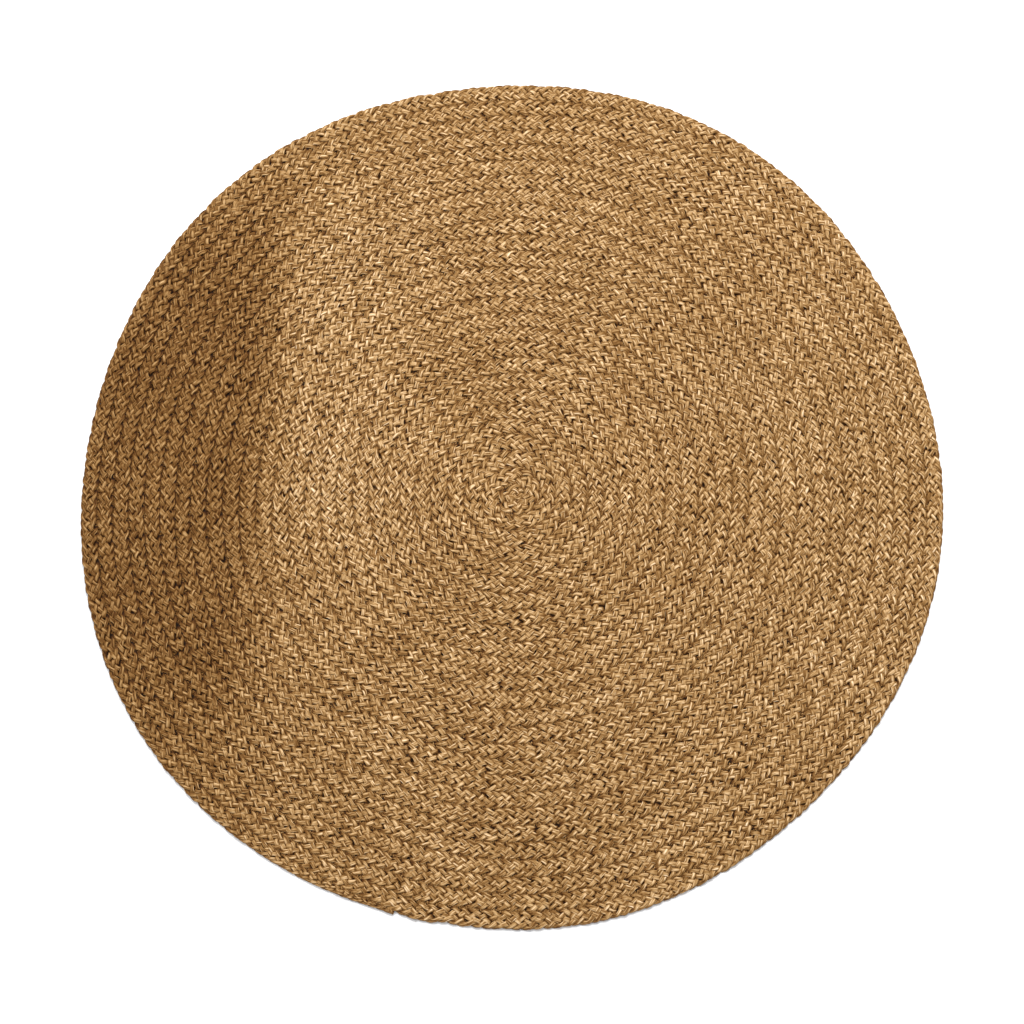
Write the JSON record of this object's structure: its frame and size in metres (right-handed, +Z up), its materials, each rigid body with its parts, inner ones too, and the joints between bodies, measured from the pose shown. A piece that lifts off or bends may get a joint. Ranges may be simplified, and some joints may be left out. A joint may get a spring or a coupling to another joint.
{
  "type": "round braided rug",
  "caption": "Round floor rug: one flat plait of plant fibre wound in a spiral and laced edge to edge, soft and reversible, for laying on a floor.",
  "frame": {"origin": "middle of the rug's underside, at floor level", "axes": "+Z up out of the floor through the thickness; the braid winds outwards anticlockwise seen from above and ends at a bearing of 254 degrees from +X, on the -Y side"},
  "size_m": [1.5052, 1.4878, 0.01],
  "materials": {
    "jute_braid": "loosely twisted natural jute strands, straw to tan, matt with a slight fibre sheen",
    "lacing_thread": "thin twisted jute sewing thread, matt",
    "whipping_thread": "thin twisted jute binding thread, matt"
  },
  "bodies": {
    "root": {"braid_center_start": "jute_braid", "braid_turn_01": "jute_braid", "braid_turn_02": "jute_braid", "braid_turn_03": "jute_braid", "braid_turn_04": "jute_braid", "braid_turn_05": "jute_braid", "braid_turn_06": "jute_braid", "braid_turn_07": "jute_braid", "braid_turn_08": "jute_braid", "braid_turn_09": "jute_braid", "braid_turn_10": "jute_braid", "braid_turn_11": "jute_braid", "braid_turn_12": "jute_braid", "braid_turn_13": "jute_braid", "braid_turn_14": "jute_braid", "braid_turn_15": "jute_braid", "braid_turn_16": "jute_braid", "braid_turn_17": "jute_braid", "braid_turn_18": "jute_braid", "braid_turn_19": "jute_braid", "braid_turn_20": "jute_braid", "braid_turn_21": "jute_braid", "braid_turn_22": "jute_braid", "braid_turn_23": "jute_braid", "braid_turn_24": "jute_braid", "braid_turn_25": "jute_braid", "braid_outer_turn": "jute_braid", "braid_tail": "jute_braid", "lacing_thread_01": "lacing_thread", "lacing_thread_02": "lacing_thread", "lacing_thread_03": "lacing_thread", "lacing_thread_04": "lacing_thread", "lacing_thread_05": "lacing_thread", "lacing_thread_06": "lacing_thread", "lacing_thread_07": "lacing_thread", "lacing_thread_08": "lacing_thread", "lacing_thread_09": "lacing_thread", "lacing_thread_10": "lacing_thread", "lacing_thread_11": "lacing_thread", "lacing_thread_12": "lacing_thread", "lacing_thread_13": "lacing_thread", "lacing_thread_14": "lacing_thread", "lacing_thread_15": "lacing_thread", "lacing_thread_16": "lacing_thread", "lacing_thread_17": "lacing_thread", "lacing_thread_18": "lacing_thread", "lacing_thread_19": "lacing_thread", "lacing_thread_20": "lacing_thread", "lacing_thread_21": "lacing_thread", "lacing_thread_22": "lacing_thread", "lacing_thread_23": "lacing_thread", "lacing_thread_24": "lacing_thread", "lacing_thread_25": "lacing_thread", "lacing_thread_26": "lacing_thread", "end_whipping": "whipping_thread"}
  },
  "joints": []
}
